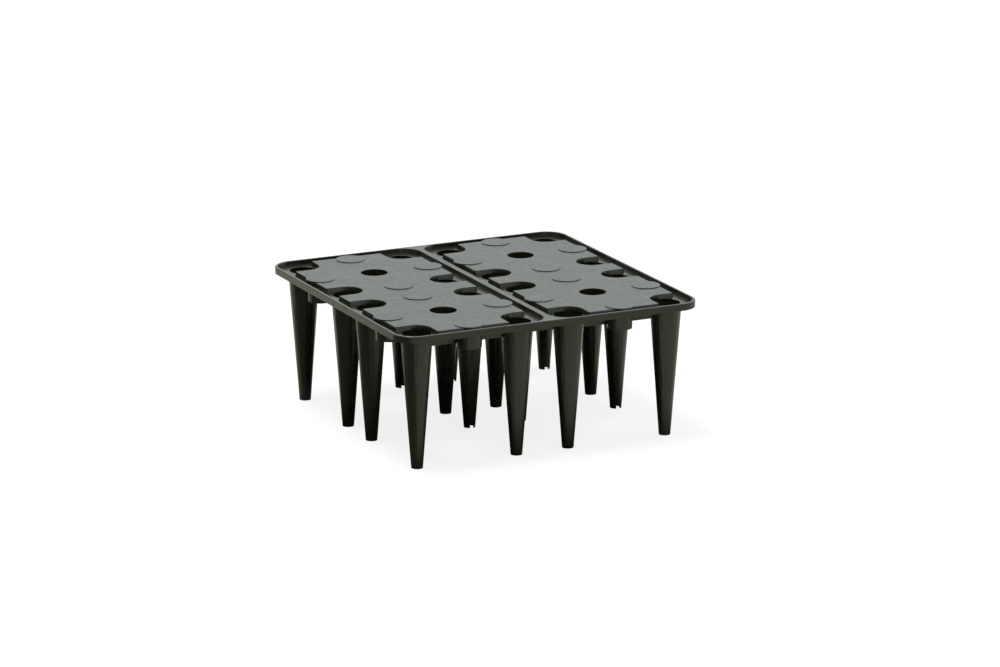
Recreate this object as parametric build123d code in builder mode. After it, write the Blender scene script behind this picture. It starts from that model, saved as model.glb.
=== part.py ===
# Plastic grating tile: a square deck on sixteen hollow tapered legs, injection moulded in one piece.
#
# Millimetres, +Z up. The origin is on the floor, under the middle of the tile. X runs across the two
# half decks and Y runs along the ridge between them.

import os

from build123d import *

# Plan of the tile
tile_side = 400.0           # outer side of the square
corner_radius = 28.0        # outer corners of the skirt
pitch = 65.8                # from one post to the next
middle_gap = 3.2            # extra distance between the third and fourth post, both ways
notch_margin = 19.2         # from the outermost posts to the edge of the half deck

# Heights
deck_height = 171.0         # floor to the top of the deck, the rim and the ridge
skirt_depth = 8.6           # from the top of the rim to the bottom of the skirt
gutter_depth = 5.5          # from the top of the rim to the floor of the gutter

# Walls
rim_wall = 3.5              # top of the rim and of the skirt
ridge_width = 8.0           # ridge between the half decks
plate_wall = 2.5            # deck, gutter floor and the walls between them
rib_wall = 2.0              # ribs under the deck

# Legs
leg_top_radius = 19.6       # outside of a leg at the gutter floor
leg_tip_radius = 7.1        # outside of a leg at the floor
leg_wall = 1.5
mouth_radius = 19.0         # mouth of a leg, from the gutter floor to the top of the deck
flare_depth = 6.0           # below the gutter floor, where the leg widens into its mouth
slot_width = 5.0            # slot across the tip of a keyed leg
slot_height = 5.0

# Round holes without a leg
hole_radius = 16.4
collar_wall = 2.0           # collar round the hole, below the deck
collar_depth = 27.5         # from the top of the deck to the bottom of the collar

# Raised discs, each with a hollow stub below
disc_reach = 72.4           # from a round hole to the discs on its four sides
disc_radius = 18.0
disc_rise = 0.8
stub_top_radius = 16.4      # outside of the stub at the top of the deck
stub_tip_radius = 15.2      # outside of the stub at its lower end
stub_wall = 2.0
stub_depth = 27.5           # from the top of the deck to the lower end of the stub

# Edges
rim_fillet = 1.2            # outer top edge of the rim
notch_fillet = 1.5          # corners where a notch meets the edge of the half deck
nearly = 0.01

# Rows and columns of the posts, counted from the middle of the tile
near = (pitch + middle_gap) / 2
steps = [near, near + pitch, near + 2 * pitch]
lines = [-steps[2], -steps[1], -steps[0], steps[0], steps[1], steps[2]]
leg_columns = [lines[0], lines[2], lines[3], lines[5]]
leg_rows = leg_columns
keyed_rows = [lines[5], lines[2]]
hole_places = [(x, y) for x in (lines[1], lines[4]) for y in (lines[1], lines[4])]
leg_places = [(x, y) for x in leg_columns for y in leg_rows]
disc_places = [(x + side * disc_reach, y) for x, y in hole_places for side in (-1, 1)]
disc_places += [(x, y + side * disc_reach) for x, y in hole_places for side in (-1, 1)]

# Half decks
half_width = steps[2] - steps[0] + 2 * notch_margin
half_length = 2 * (steps[2] + notch_margin)
half_middle = steps[1]
half_places = [(-half_middle, 0), (half_middle, 0)]

# Levels
deck_underside = deck_height - plate_wall
gutter_floor = deck_height - gutter_depth
floor_underside = gutter_floor - plate_wall
skirt_bottom = deck_height - skirt_depth
collar_bottom = deck_height - collar_depth
stub_bottom = deck_height - stub_depth

# Gutter and the hollow inside the skirt
inner_side = tile_side - 2 * rim_wall
inner_corner = corner_radius - rim_wall
gutter_width = (inner_side - ridge_width) / 2
gutter_middle = (inner_side + ridge_width) / 4

# Insides of the legs
flare_bottom = gutter_floor - flare_depth
leg_slope = (leg_top_radius - leg_tip_radius) / gutter_floor
flare_radius = leg_tip_radius - leg_wall + leg_slope * flare_bottom


# A half deck seen from above: a rectangle with a notch from each leg out to the gutter beside it
with BuildSketch() as half_deck_outline:
    Rectangle(half_width, half_length)
    for x in (-pitch, pitch):
        side = 1 if x > 0 else -1
        for y in leg_rows:
            with Locations((x, y)):
                Circle(mouth_radius, mode=Mode.SUBTRACT)
            with Locations((x + side * notch_margin / 2, y)):
                Rectangle(notch_margin, 2 * mouth_radius, mode=Mode.SUBTRACT)
        for y in (leg_rows[0], leg_rows[3]):
            end = 1 if y > 0 else -1
            with Locations((x, y + end * notch_margin / 2)):
                Rectangle(2 * mouth_radius, notch_margin, mode=Mode.SUBTRACT)
            with Locations((x + side * notch_margin / 2, y + end * notch_margin / 2)):
                Rectangle(notch_margin, notch_margin, mode=Mode.SUBTRACT)
    corners = half_deck_outline.vertices().filter_by(
        lambda v: abs(v.X) > half_width / 2 - nearly or abs(v.Y) > half_length / 2 - nearly)
    fillet(corners, radius=notch_fillet)

# The hollow under a half deck, one wall inside its outline
with BuildSketch() as pocket_outline:
    add(half_deck_outline.sketch)
    offset(amount=-plate_wall, kind=Kind.INTERSECTION)

with BuildPart() as grating_tile:
    # Plate
    with BuildSketch(Plane.XY.offset(skirt_bottom)):
        RectangleRounded(tile_side, tile_side, corner_radius)
    extrude(amount=skirt_depth)
    fillet(grating_tile.faces().sort_by(Axis.Z)[-1].edges(), radius=rim_fillet)

    # Gutter on each side of the ridge
    with BuildSketch(Plane.XY.offset(gutter_floor)):
        with Locations((-gutter_middle, 0), (gutter_middle, 0)):
            RectangleRounded(gutter_width, inner_side, inner_corner)
    extrude(amount=gutter_depth, mode=Mode.SUBTRACT)

    # Half decks
    with BuildSketch(Plane.XY.offset(gutter_floor)):
        with Locations(*half_places):
            add(half_deck_outline.sketch)
    extrude(amount=gutter_depth)

    # Raised discs
    with BuildSketch(Plane.XY.offset(gutter_floor)):
        with Locations(*disc_places):
            Circle(disc_radius)
    extrude(amount=gutter_depth + disc_rise)

    # Hollow under the gutter floor, inside the skirt
    with BuildSketch(Plane.XY.offset(skirt_bottom)):
        RectangleRounded(inner_side, inner_side, inner_corner)
    extrude(amount=floor_underside - skirt_bottom, mode=Mode.SUBTRACT)

    # Hollow under each half deck
    with BuildSketch(Plane.XY.offset(skirt_bottom)):
        with Locations(*half_places):
            add(pocket_outline.sketch)
    extrude(amount=deck_underside - skirt_bottom, mode=Mode.SUBTRACT)

    # Ribs under the deck, from post to post both ways
    with BuildSketch(Plane.XY.offset(skirt_bottom)):
        with Locations(*[(x, 0) for x in lines]):
            Rectangle(rib_wall, inner_side)
        with Locations(*[(0, y) for y in lines]):
            Rectangle(inner_side, rib_wall)
    extrude(amount=floor_underside - skirt_bottom)
    with BuildSketch(Plane.XY.offset(skirt_bottom)):
        for middle_x in (-half_middle, half_middle):
            with Locations(*[(middle_x + x, 0) for x in (-pitch, 0, pitch)]):
                Rectangle(rib_wall, half_length - 2 * plate_wall)
            with Locations(*[(middle_x, y) for y in lines]):
                Rectangle(half_width - 2 * plate_wall, rib_wall)
    extrude(amount=deck_underside - skirt_bottom)

    # Collars round the holes and stubs under the discs
    with BuildSketch(Plane.XY.offset(collar_bottom)):
        with Locations(*hole_places):
            Circle(hole_radius + collar_wall)
    extrude(amount=deck_underside - collar_bottom)
    with Locations(*[(x, y, stub_bottom) for x, y in disc_places]):
        Cone(stub_tip_radius, stub_top_radius, stub_depth, align=(Align.CENTER, Align.CENTER, Align.MIN))

    # Outsides of the legs
    with Locations(*[(x, y, 0) for x, y in leg_places]):
        Cone(leg_tip_radius, leg_top_radius, gutter_floor,
             align=(Align.CENTER, Align.CENTER, Align.MIN))

    # Insides of the legs, flared into their mouths
    with Locations(*[(x, y, 0) for x, y in leg_places]):
        Cone(leg_tip_radius - leg_wall, leg_top_radius - leg_wall, gutter_floor,
             align=(Align.CENTER, Align.CENTER, Align.MIN), mode=Mode.SUBTRACT)
    with Locations(*[(x, y, flare_bottom) for x, y in leg_places]):
        Cone(flare_radius, mouth_radius, flare_depth,
             align=(Align.CENTER, Align.CENTER, Align.MIN), mode=Mode.SUBTRACT)

    # Mouths of the legs, clear of the ribs
    with BuildSketch(Plane.XY.offset(gutter_floor)):
        with Locations(*leg_places):
            Circle(mouth_radius)
    extrude(amount=gutter_depth, mode=Mode.SUBTRACT)

    # Insides of the stubs, collars and holes
    with Locations(*[(x, y, stub_bottom) for x, y in disc_places]):
        Cone(stub_tip_radius - stub_wall, stub_top_radius - stub_wall, deck_underside - stub_bottom,
             align=(Align.CENTER, Align.CENTER, Align.MIN), mode=Mode.SUBTRACT)
    with BuildSketch(Plane.XY.offset(collar_bottom)):
        with Locations(*hole_places):
            Circle(hole_radius)
    extrude(amount=collar_depth, mode=Mode.SUBTRACT)

    # Slots across the tips of the keyed legs
    with BuildSketch():
        with Locations(*[(x, y) for x in leg_columns for y in keyed_rows]):
            Rectangle(slot_width, 3 * leg_tip_radius)
    extrude(amount=slot_height, mode=Mode.SUBTRACT)

grating_tile.part.label = "grating_tile"

os.makedirs("parts", exist_ok=True)
export_step(grating_tile.part, "parts/grating_tile.step")
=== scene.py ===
import math

import bmesh
import bpy
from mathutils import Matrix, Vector


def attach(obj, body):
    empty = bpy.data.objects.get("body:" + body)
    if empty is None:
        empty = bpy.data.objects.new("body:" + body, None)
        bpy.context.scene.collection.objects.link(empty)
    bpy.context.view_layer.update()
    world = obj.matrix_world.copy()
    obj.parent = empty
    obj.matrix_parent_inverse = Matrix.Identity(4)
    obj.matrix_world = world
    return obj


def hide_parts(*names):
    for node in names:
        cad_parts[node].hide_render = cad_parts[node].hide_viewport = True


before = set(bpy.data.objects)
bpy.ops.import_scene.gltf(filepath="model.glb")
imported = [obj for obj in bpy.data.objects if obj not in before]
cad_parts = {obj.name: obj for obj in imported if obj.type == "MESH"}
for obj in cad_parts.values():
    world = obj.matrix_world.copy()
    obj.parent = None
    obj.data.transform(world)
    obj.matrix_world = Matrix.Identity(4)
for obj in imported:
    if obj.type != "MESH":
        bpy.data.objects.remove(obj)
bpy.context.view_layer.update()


# The moulded tile: deck, rim, gutter, ridge, discs, collars and sixteen hollow tapered legs. It is one
# injection moulding in black polypropylene. The solid comes from model.glb, and its copy here gets what
# the mould gives the real one: drafted deck walls, worn edges, two plain leg tips and deeper end ribs.

PITCH = 0.0658              # from one leg, hole or stub to the next
MIDDLE_GAP = 0.0032         # extra distance across the middle
INNER_LEG = (PITCH + MIDDLE_GAP) / 2
STUB = INNER_LEG + PITCH
OUTER_LEG = STUB + PITCH
DECK_TOP = 0.171
GUTTER_FLOOR = 0.1655
NEARLY = 0.00005            # heights that differ by less than this are one height

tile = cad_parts["grating_tile"]
moulding = bpy.data.objects.new("moulded_tile", tile.data.copy())
bpy.context.collection.objects.link(moulding)
bpy.ops.object.select_all(action="DESELECT")
moulding.select_set(True)
bpy.context.view_layer.objects.active = moulding
bpy.ops.mesh.customdata_custom_splitnormals_clear()

# The loose triangles of the copy become whole faces
MERGE = 0.00001
ONE_FACE = math.radians(0.5)

bpy.ops.object.mode_set(mode="EDIT")
bpy.ops.mesh.select_all(action="SELECT")
bpy.ops.mesh.remove_doubles(threshold=MERGE)
bpy.ops.mesh.dissolve_limited(angle_limit=ONE_FACE)
shape = bmesh.from_edit_mesh(moulding.data)

# Draft: the foot of each deck wall moves out along the gutter floor, and its top stays
DRAFT = 0.0013
DECK_REACH = 0.196          # the rim begins further out than this, and its walls stay upright
RIDGE_HALF = 0.0045         # just past the walls of the ridge, which stay upright too
STEEP = 0.5                 # the normal of a wall rises less than this
SAME_WAY = 0.9999           # cosine of the turn between two faces that belong to one flat wall
SLIVER = 0.0000005          # square metres, smaller than any wall
MITRE_LIMIT = 0.5           # at a sharp corner the foot moves out by two steps at most


def wall_outlook(vertex):
    """Level direction away from the walls at a vertex, so long that one step moves each wall fully."""
    looks = []
    for face in vertex.link_faces:
        look = Vector((face.normal.x, face.normal.y, 0))
        if abs(face.normal.z) < STEEP and face.calc_area() > SLIVER:
            look.normalize()
            if all(look.dot(other) < SAME_WAY for other in looks):
                looks.append(look)
    if not looks:
        return None
    middle = sum(looks, Vector()).normalized()
    return middle / max(MITRE_LIMIT, min(middle.dot(look) for look in looks))


moves = []
for vertex in shape.verts:
    x, y = abs(vertex.co.x), abs(vertex.co.y)
    at_foot = abs(vertex.co.z - GUTTER_FLOOR) < NEARLY
    if at_foot and max(x, y) < DECK_REACH and x > RIDGE_HALF:
        look = wall_outlook(vertex)
        if look:
            moves.append((vertex, look))
for vertex, look in moves:
    vertex.co += look * DRAFT

# Plain tips: two legs stand on a whole ring, so the roof of their slot comes down to the floor
LEG_TOP_RADIUS = 0.0196     # at the gutter floor
LEG_TIP_RADIUS = 0.0071
LEG_TAPER = (LEG_TOP_RADIUS - LEG_TIP_RADIUS) / GUTTER_FLOOR
TIP_REACH = 0.009           # from the axis of a leg, past the wall of its tip
SLOT_ROOF = 0.005
PLAIN_TIPS = ((-OUTER_LEG, OUTER_LEG), (-OUTER_LEG, -INNER_LEG))

for axis_x, axis_y in PLAIN_TIPS:
    for vertex in shape.verts:
        out = Vector((vertex.co.x - axis_x, vertex.co.y - axis_y))
        if out.length < TIP_REACH and abs(vertex.co.z - SLOT_ROOF) < NEARLY:
            out *= 1 - LEG_TAPER * SLOT_ROOF / out.length
            vertex.co = (axis_x + out.x, axis_y + out.y, 0)
feet = [vertex for vertex in shape.verts if vertex.co.z < NEARLY]
bmesh.ops.remove_doubles(shape, verts=feet, dist=NEARLY)
bmesh.update_edit_mesh(moulding.data)

# Deeper ribs along the nearest and the farthest row, each from wall to wall between legs and stubs
RIB_WIDTH = 0.0018
RIB_TOP = 0.1625            # just inside the shallow rib above
RIB_FOOT = 0.148
MIDDLE_RIB_FOOT = 0.1502    # between the two half decks
IN_LEG_WALL = 0.0183        # from the axis of a leg into its wall
IN_STUB_WALL = 0.0134       # from the axis of a stub into its wall

ribs = [(IN_LEG_WALL - INNER_LEG, INNER_LEG - IN_LEG_WALL, MIDDLE_RIB_FOOT)]
for side in (-1, 1):
    ribs.append((side * (OUTER_LEG - IN_LEG_WALL), side * (STUB + IN_STUB_WALL), RIB_FOOT))
    ribs.append((side * (STUB - IN_STUB_WALL), side * (INNER_LEG + IN_LEG_WALL), RIB_FOOT))
for row in (-OUTER_LEG, OUTER_LEG):
    for start, end, foot in ribs:
        middle = ((start + end) / 2, row, (foot + RIB_TOP) / 2)
        sides = (abs(end - start), RIB_WIDTH, RIB_TOP - foot)
        bpy.ops.mesh.primitive_cube_add(size=1, location=middle, scale=sides)

# Worn edges: the sharp outward edges at the level of the deck get a small radius
EDGE_RADIUS = 0.0005
CORNER = math.radians(60)   # edges flatter than this stay
SMOOTH_ANGLE = math.radians(35)

shape = bmesh.from_edit_mesh(moulding.data)
bpy.ops.mesh.select_all(action="DESELECT")
bpy.ops.mesh.select_mode(type="EDGE")
for edge in shape.edges:
    high = min(vertex.co.z for vertex in edge.verts) > DECK_TOP - NEARLY
    if high and edge.is_convex and edge.calc_face_angle() > CORNER:
        edge.select_set(True)
bmesh.update_edit_mesh(moulding.data)
bpy.ops.mesh.bevel(offset=EDGE_RADIUS, segments=2, affect="EDGES", clamp_overlap=False)
bpy.ops.object.mode_set(mode="OBJECT")
bpy.ops.object.shade_smooth_by_angle(angle=SMOOTH_ANGLE)

# Normals follow the large faces, so that the flat deck stays flat beside its worn edges
bpy.ops.object.modifier_add(type="WEIGHTED_NORMAL")
even_shading = moulding.modifiers[-1]
even_shading.keep_sharp = True
even_shading.weight = 100
bpy.ops.object.modifier_apply(modifier=even_shading.name)


def linear(code):
    """Linear colour of an sRGB hex code, with alpha 1."""
    parts = [int(code[i:i + 2], 16) / 255 for i in (1, 3, 5)]
    return [p / 12.92 if p <= 0.04045 else ((p + 0.055) / 1.055) ** 2.4 for p in parts] + [1.0]


def add_node(tree, kind, settings=None, inputs=None):
    """A new node with its settings and inputs. An input is a value, or the socket that feeds it.

    The inputs of a Mix node are 2 and 3 for two numbers, and 6 and 7 for two colours, which come out at 2.
    """
    node = tree.nodes.new(kind)
    for name, value in (settings or {}).items():
        setattr(node, name, value)
    for name, value in (inputs or {}).items():
        if isinstance(value, bpy.types.NodeSocket):
            tree.links.new(value, node.inputs[name])
        else:
            node.inputs[name].default_value = value
    return node


def new_tree(name):
    """An empty material and its node tree."""
    material = bpy.data.materials.new(name)
    material.use_nodes = True
    material.node_tree.nodes.clear()
    return material, material.node_tree


# Polypropylene with carbon black: near black, a little warm and green, IOR 1.49. Moulded against
# polished steel it is satin: it mirrors its surroundings softly, and strongly at a flat angle.

POLYPROPYLENE_IOR = 1.49
CLEAN_BLACK = "#121407"
DUSTY_BLACK = "#181a0b"
POLISHED = 0.24             # roughness where the melt filled the mould well
SATIN = 0.33                # and where it streaked
GRAIN_MM = 0.9              # spark-eroded grain of the mould, really 0.2 mm, drawn as coarse as it shows
SINK_MM = 34.0              # slow waviness where the melt shrinks between ribs
FLOW_MM = 9.0               # streaks of the melt, which change the gloss
DUST_MM = 60.0              # patches of dry dust and handling
DRAW_MM = 5.0               # width of the draw marks that the mould leaves along legs and stubs
DRAW_LENGTH_MM = 900.0
SKIRT_FOOT = 0.1624         # the draw marks are below this
SINK_DEPTH = 0.0012
DRAW_DEPTH = 0.0012
GRAIN_DEPTH = 0.0001

black_polypropylene, tree = new_tree("black_polypropylene")
place = add_node(tree, "ShaderNodeTexCoord").outputs["Object"]
dust = add_node(tree, "ShaderNodeTexNoise", {"noise_dimensions": "3D"},
                {"Vector": place, "Scale": 1000 / DUST_MM, "Detail": 4.0, "Roughness": 0.6})
flow = add_node(tree, "ShaderNodeTexNoise", {"noise_dimensions": "3D"},
                {"Vector": place, "Scale": 1000 / FLOW_MM, "Detail": 3.0, "Roughness": 0.55})
sink = add_node(tree, "ShaderNodeTexNoise", {"noise_dimensions": "3D"},
                {"Vector": place, "Scale": 1000 / SINK_MM, "Detail": 1.0, "Roughness": 0.4})
grain = add_node(tree, "ShaderNodeTexNoise", {"noise_dimensions": "3D"},
                 {"Vector": place, "Scale": 1000 / GRAIN_MM, "Detail": 2.0, "Roughness": 0.5})
along = add_node(tree, "ShaderNodeMapping", None,
                 {"Vector": place, "Scale": (1000 / DRAW_MM, 1000 / DRAW_MM, 1000 / DRAW_LENGTH_MM)})
draw = add_node(tree, "ShaderNodeTexNoise", {"noise_dimensions": "3D"},
                {"Vector": along.outputs["Vector"], "Scale": 1.0, "Detail": 2.0, "Roughness": 0.6})
height = add_node(tree, "ShaderNodeSeparateXYZ", None, {"Vector": place}).outputs["Z"]
below = add_node(tree, "ShaderNodeMath", {"operation": "LESS_THAN"}, {0: height, 1: SKIRT_FOOT})
marks = add_node(tree, "ShaderNodeMath", {"operation": "MULTIPLY"},
                 {0: draw.outputs["Fac"], 1: below.outputs[0]})
tone = add_node(tree, "ShaderNodeMix", {"data_type": "RGBA"},
                {0: dust.outputs["Fac"], 6: linear(CLEAN_BLACK), 7: linear(DUSTY_BLACK)})
gloss = add_node(tree, "ShaderNodeMapRange", None,
                 {"Value": flow.outputs["Fac"], "From Min": 0.3, "From Max": 0.7,
                  "To Min": POLISHED, "To Max": SATIN})
wavy = add_node(tree, "ShaderNodeBump", None,
                {"Height": sink.outputs["Fac"], "Strength": 0.35, "Distance": SINK_DEPTH})
drawn = add_node(tree, "ShaderNodeBump", None,
                 {"Height": marks.outputs[0], "Strength": 0.8, "Distance": DRAW_DEPTH,
                  "Normal": wavy.outputs["Normal"]})
grained = add_node(tree, "ShaderNodeBump", None,
                   {"Height": grain.outputs["Fac"], "Strength": 0.12, "Distance": GRAIN_DEPTH,
                    "Normal": drawn.outputs["Normal"]})
skin = add_node(tree, "ShaderNodeBsdfPrincipled", None,
                {"Base Color": tone.outputs[2], "Roughness": gloss.outputs["Result"],
                 "IOR": POLYPROPYLENE_IOR, "Normal": grained.outputs["Normal"]})
add_node(tree, "ShaderNodeOutputMaterial", None, {"Surface": skin.outputs["BSDF"]})

moulding.data.materials.clear()
moulding.data.materials.append(black_polypropylene)
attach(moulding, "root")
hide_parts("grating_tile")


# The studio floor: a seamless white sweep, wide enough for every view. The camera sees it white, with a
# soft shadow of the tile. Reflections see it painted grey, with painted shade on the left and under the
# tile, and a little warm.

FLOOR_SIDE = 30.0           # metres
SHADE = (-0.9925, -0.122, 0.0)   # from the tile toward the shaded part of the room
FLOOR_SHADE_EDGE = (0.60, 0.85)  # cosines to that direction, between which the shade painted on the floor comes in
OPEN_FLOOR = 0.37           # how light reflections see the floor, outside and then inside its painted shade
FLOOR_PAINTED_SHADE = 0.09
UNDER_TILE = (0.14, 0.30)   # metres from the middle, between which the floor comes out of the shade painted under the tile
PAINTED_TILE_SHADE_LEVELS = (0.12, 1.25)
WARM_WHITE = "#fffde6"
WHITE = "#ffffff"
FLOOR_GREY = "#6c6c6c"      # the part of the floor's white that takes a shadow
FLOOR_GLOW = 0.83           # and the part that takes none

floor_white, tree = new_tree("studio_floor")
path = add_node(tree, "ShaderNodeLightPath")
place = add_node(tree, "ShaderNodeTexCoord").outputs["Object"]
# Painted shade: the grey that reflections see is painted darker toward the shaded left and under the tile
spot = add_node(tree, "ShaderNodeVectorMath", {"operation": "NORMALIZE"}, {0: place})
across = add_node(tree, "ShaderNodeVectorMath", {"operation": "DOT_PRODUCT"},
                  {0: spot.outputs["Vector"], 1: SHADE})
painted_left_shade = add_node(tree, "ShaderNodeMapRange", {"interpolation_type": "SMOOTHSTEP"},
                  {"Value": across.outputs["Value"],
                   "From Min": FLOOR_SHADE_EDGE[0], "From Max": FLOOR_SHADE_EDGE[1],
                   "To Min": OPEN_FLOOR, "To Max": FLOOR_PAINTED_SHADE})
far = add_node(tree, "ShaderNodeVectorMath", {"operation": "LENGTH"}, {0: place})
clear = add_node(tree, "ShaderNodeMapRange", {"interpolation_type": "SMOOTHSTEP"},
                 {"Value": far.outputs["Value"], "From Min": UNDER_TILE[0], "From Max": UNDER_TILE[1],
                  "To Min": PAINTED_TILE_SHADE_LEVELS[0], "To Max": PAINTED_TILE_SHADE_LEVELS[1]})
level = add_node(tree, "ShaderNodeMath", {"operation": "MULTIPLY"},
                 {0: painted_left_shade.outputs["Result"], 1: clear.outputs["Result"]})
mirrored = add_node(tree, "ShaderNodeMix", {"data_type": "RGBA", "blend_type": "MULTIPLY"},
                    {0: 1.0, 6: level.outputs[0], 7: linear(WARM_WHITE)})
seen = add_node(tree, "ShaderNodeMath", {"operation": "MAXIMUM"},
                {0: path.outputs["Is Camera Ray"], 1: path.outputs["Is Transmission Ray"]})
paint = add_node(tree, "ShaderNodeMix", {"data_type": "RGBA"},
                 {0: seen.outputs[0], 6: mirrored.outputs[2], 7: linear(FLOOR_GREY)})
lift = add_node(tree, "ShaderNodeMath", {"operation": "MULTIPLY"}, {0: seen.outputs[0], 1: FLOOR_GLOW})
chalk = add_node(tree, "ShaderNodeBsdfDiffuse", None, {"Color": paint.outputs[2]})
glow = add_node(tree, "ShaderNodeEmission", None,
                {"Color": linear(WHITE), "Strength": lift.outputs[0]})
both = add_node(tree, "ShaderNodeAddShader", None, {0: chalk.outputs[0], 1: glow.outputs[0]})
add_node(tree, "ShaderNodeOutputMaterial", None, {"Surface": both.outputs[0]})

bpy.ops.object.select_all(action="DESELECT")
bpy.ops.mesh.primitive_plane_add(size=FLOOR_SIDE, location=(0, 0, 0))
floor = bpy.context.object
floor.name = "floor"
floor.data.materials.append(floor_white)


# Studio light: a white room that is bright behind, above and on the right and dim on the left, and a soft
# box overhead, a little to the left, which throws the soft shadow to the right.

BRIGHT_ROOM = 1.12
DIM_ROOM = 0.20
ROOM_SHADE_EDGE = (0.10, 0.55)   # cosines to the shaded part, between which the room falls into shade
COOL_WHITE = "#f9ffff"
BOX_SIDE = 1.3
BOX_WATTS = 110.0
BOX_PLACE = (-0.55, 0.15, 3.0)

world = bpy.data.worlds.new("studio")
bpy.context.scene.world = world
world.use_nodes = True
tree = world.node_tree
tree.nodes.clear()
path = add_node(tree, "ShaderNodeLightPath")
toward = add_node(tree, "ShaderNodeTexCoord").outputs["Generated"]
across = add_node(tree, "ShaderNodeVectorMath", {"operation": "DOT_PRODUCT"}, {0: toward, 1: SHADE})
room_level = add_node(tree, "ShaderNodeMapRange", {"interpolation_type": "SMOOTHSTEP"},
                      {"Value": across.outputs["Value"],
                       "From Min": ROOM_SHADE_EDGE[0], "From Max": ROOM_SHADE_EDGE[1],
                       "To Min": BRIGHT_ROOM, "To Max": DIM_ROOM})
strength = add_node(tree, "ShaderNodeMix", {"data_type": "FLOAT"},
                    {0: path.outputs["Is Camera Ray"], 2: room_level.outputs["Result"], 3: 1.0})
wall = add_node(tree, "ShaderNodeMix", {"data_type": "RGBA"},
                {0: path.outputs["Is Camera Ray"], 6: linear(COOL_WHITE), 7: linear(WHITE)})
room = add_node(tree, "ShaderNodeBackground", None,
                {"Color": wall.outputs[2], "Strength": strength.outputs[0]})
add_node(tree, "ShaderNodeOutputWorld", None, {"Surface": room.outputs[0]})

overhead = bpy.data.lights.new("overhead_box", "AREA")
overhead.shape = "SQUARE"
overhead.size = BOX_SIDE
overhead.energy = BOX_WATTS
holder = bpy.data.objects.new("overhead_box", overhead)
bpy.context.collection.objects.link(holder)
holder.location = BOX_PLACE
holder.rotation_euler = (-Vector(BOX_PLACE)).to_track_quat("-Z", "Y").to_euler()


# Camera: a long lens more than six metres away at the front left, which sees the tile from a little above.
# It aims just right of the middle of the tile, so that the tile stands in the frame as photographed.

LENS_MM = 188.07
SENSOR_MM = 36.0
FARTHEST = 100.0            # metres, past the edge of the floor
CAMERA_PLACE = (-2.6663, -5.5894, 1.7788)
AIM = (0.0307, 0.0148, 0.0985)

lens = bpy.data.cameras.new("camera")
lens.lens = LENS_MM
lens.sensor_width = SENSOR_MM
lens.clip_end = FARTHEST
camera = bpy.data.objects.new("camera", lens)
bpy.context.collection.objects.link(camera)
camera.location = CAMERA_PLACE
view_line = Vector(AIM) - Vector(CAMERA_PLACE)
camera.rotation_euler = view_line.to_track_quat("-Z", "Y").to_euler()
bpy.context.scene.camera = camera
bpy.context.scene.view_settings.view_transform = "Standard"
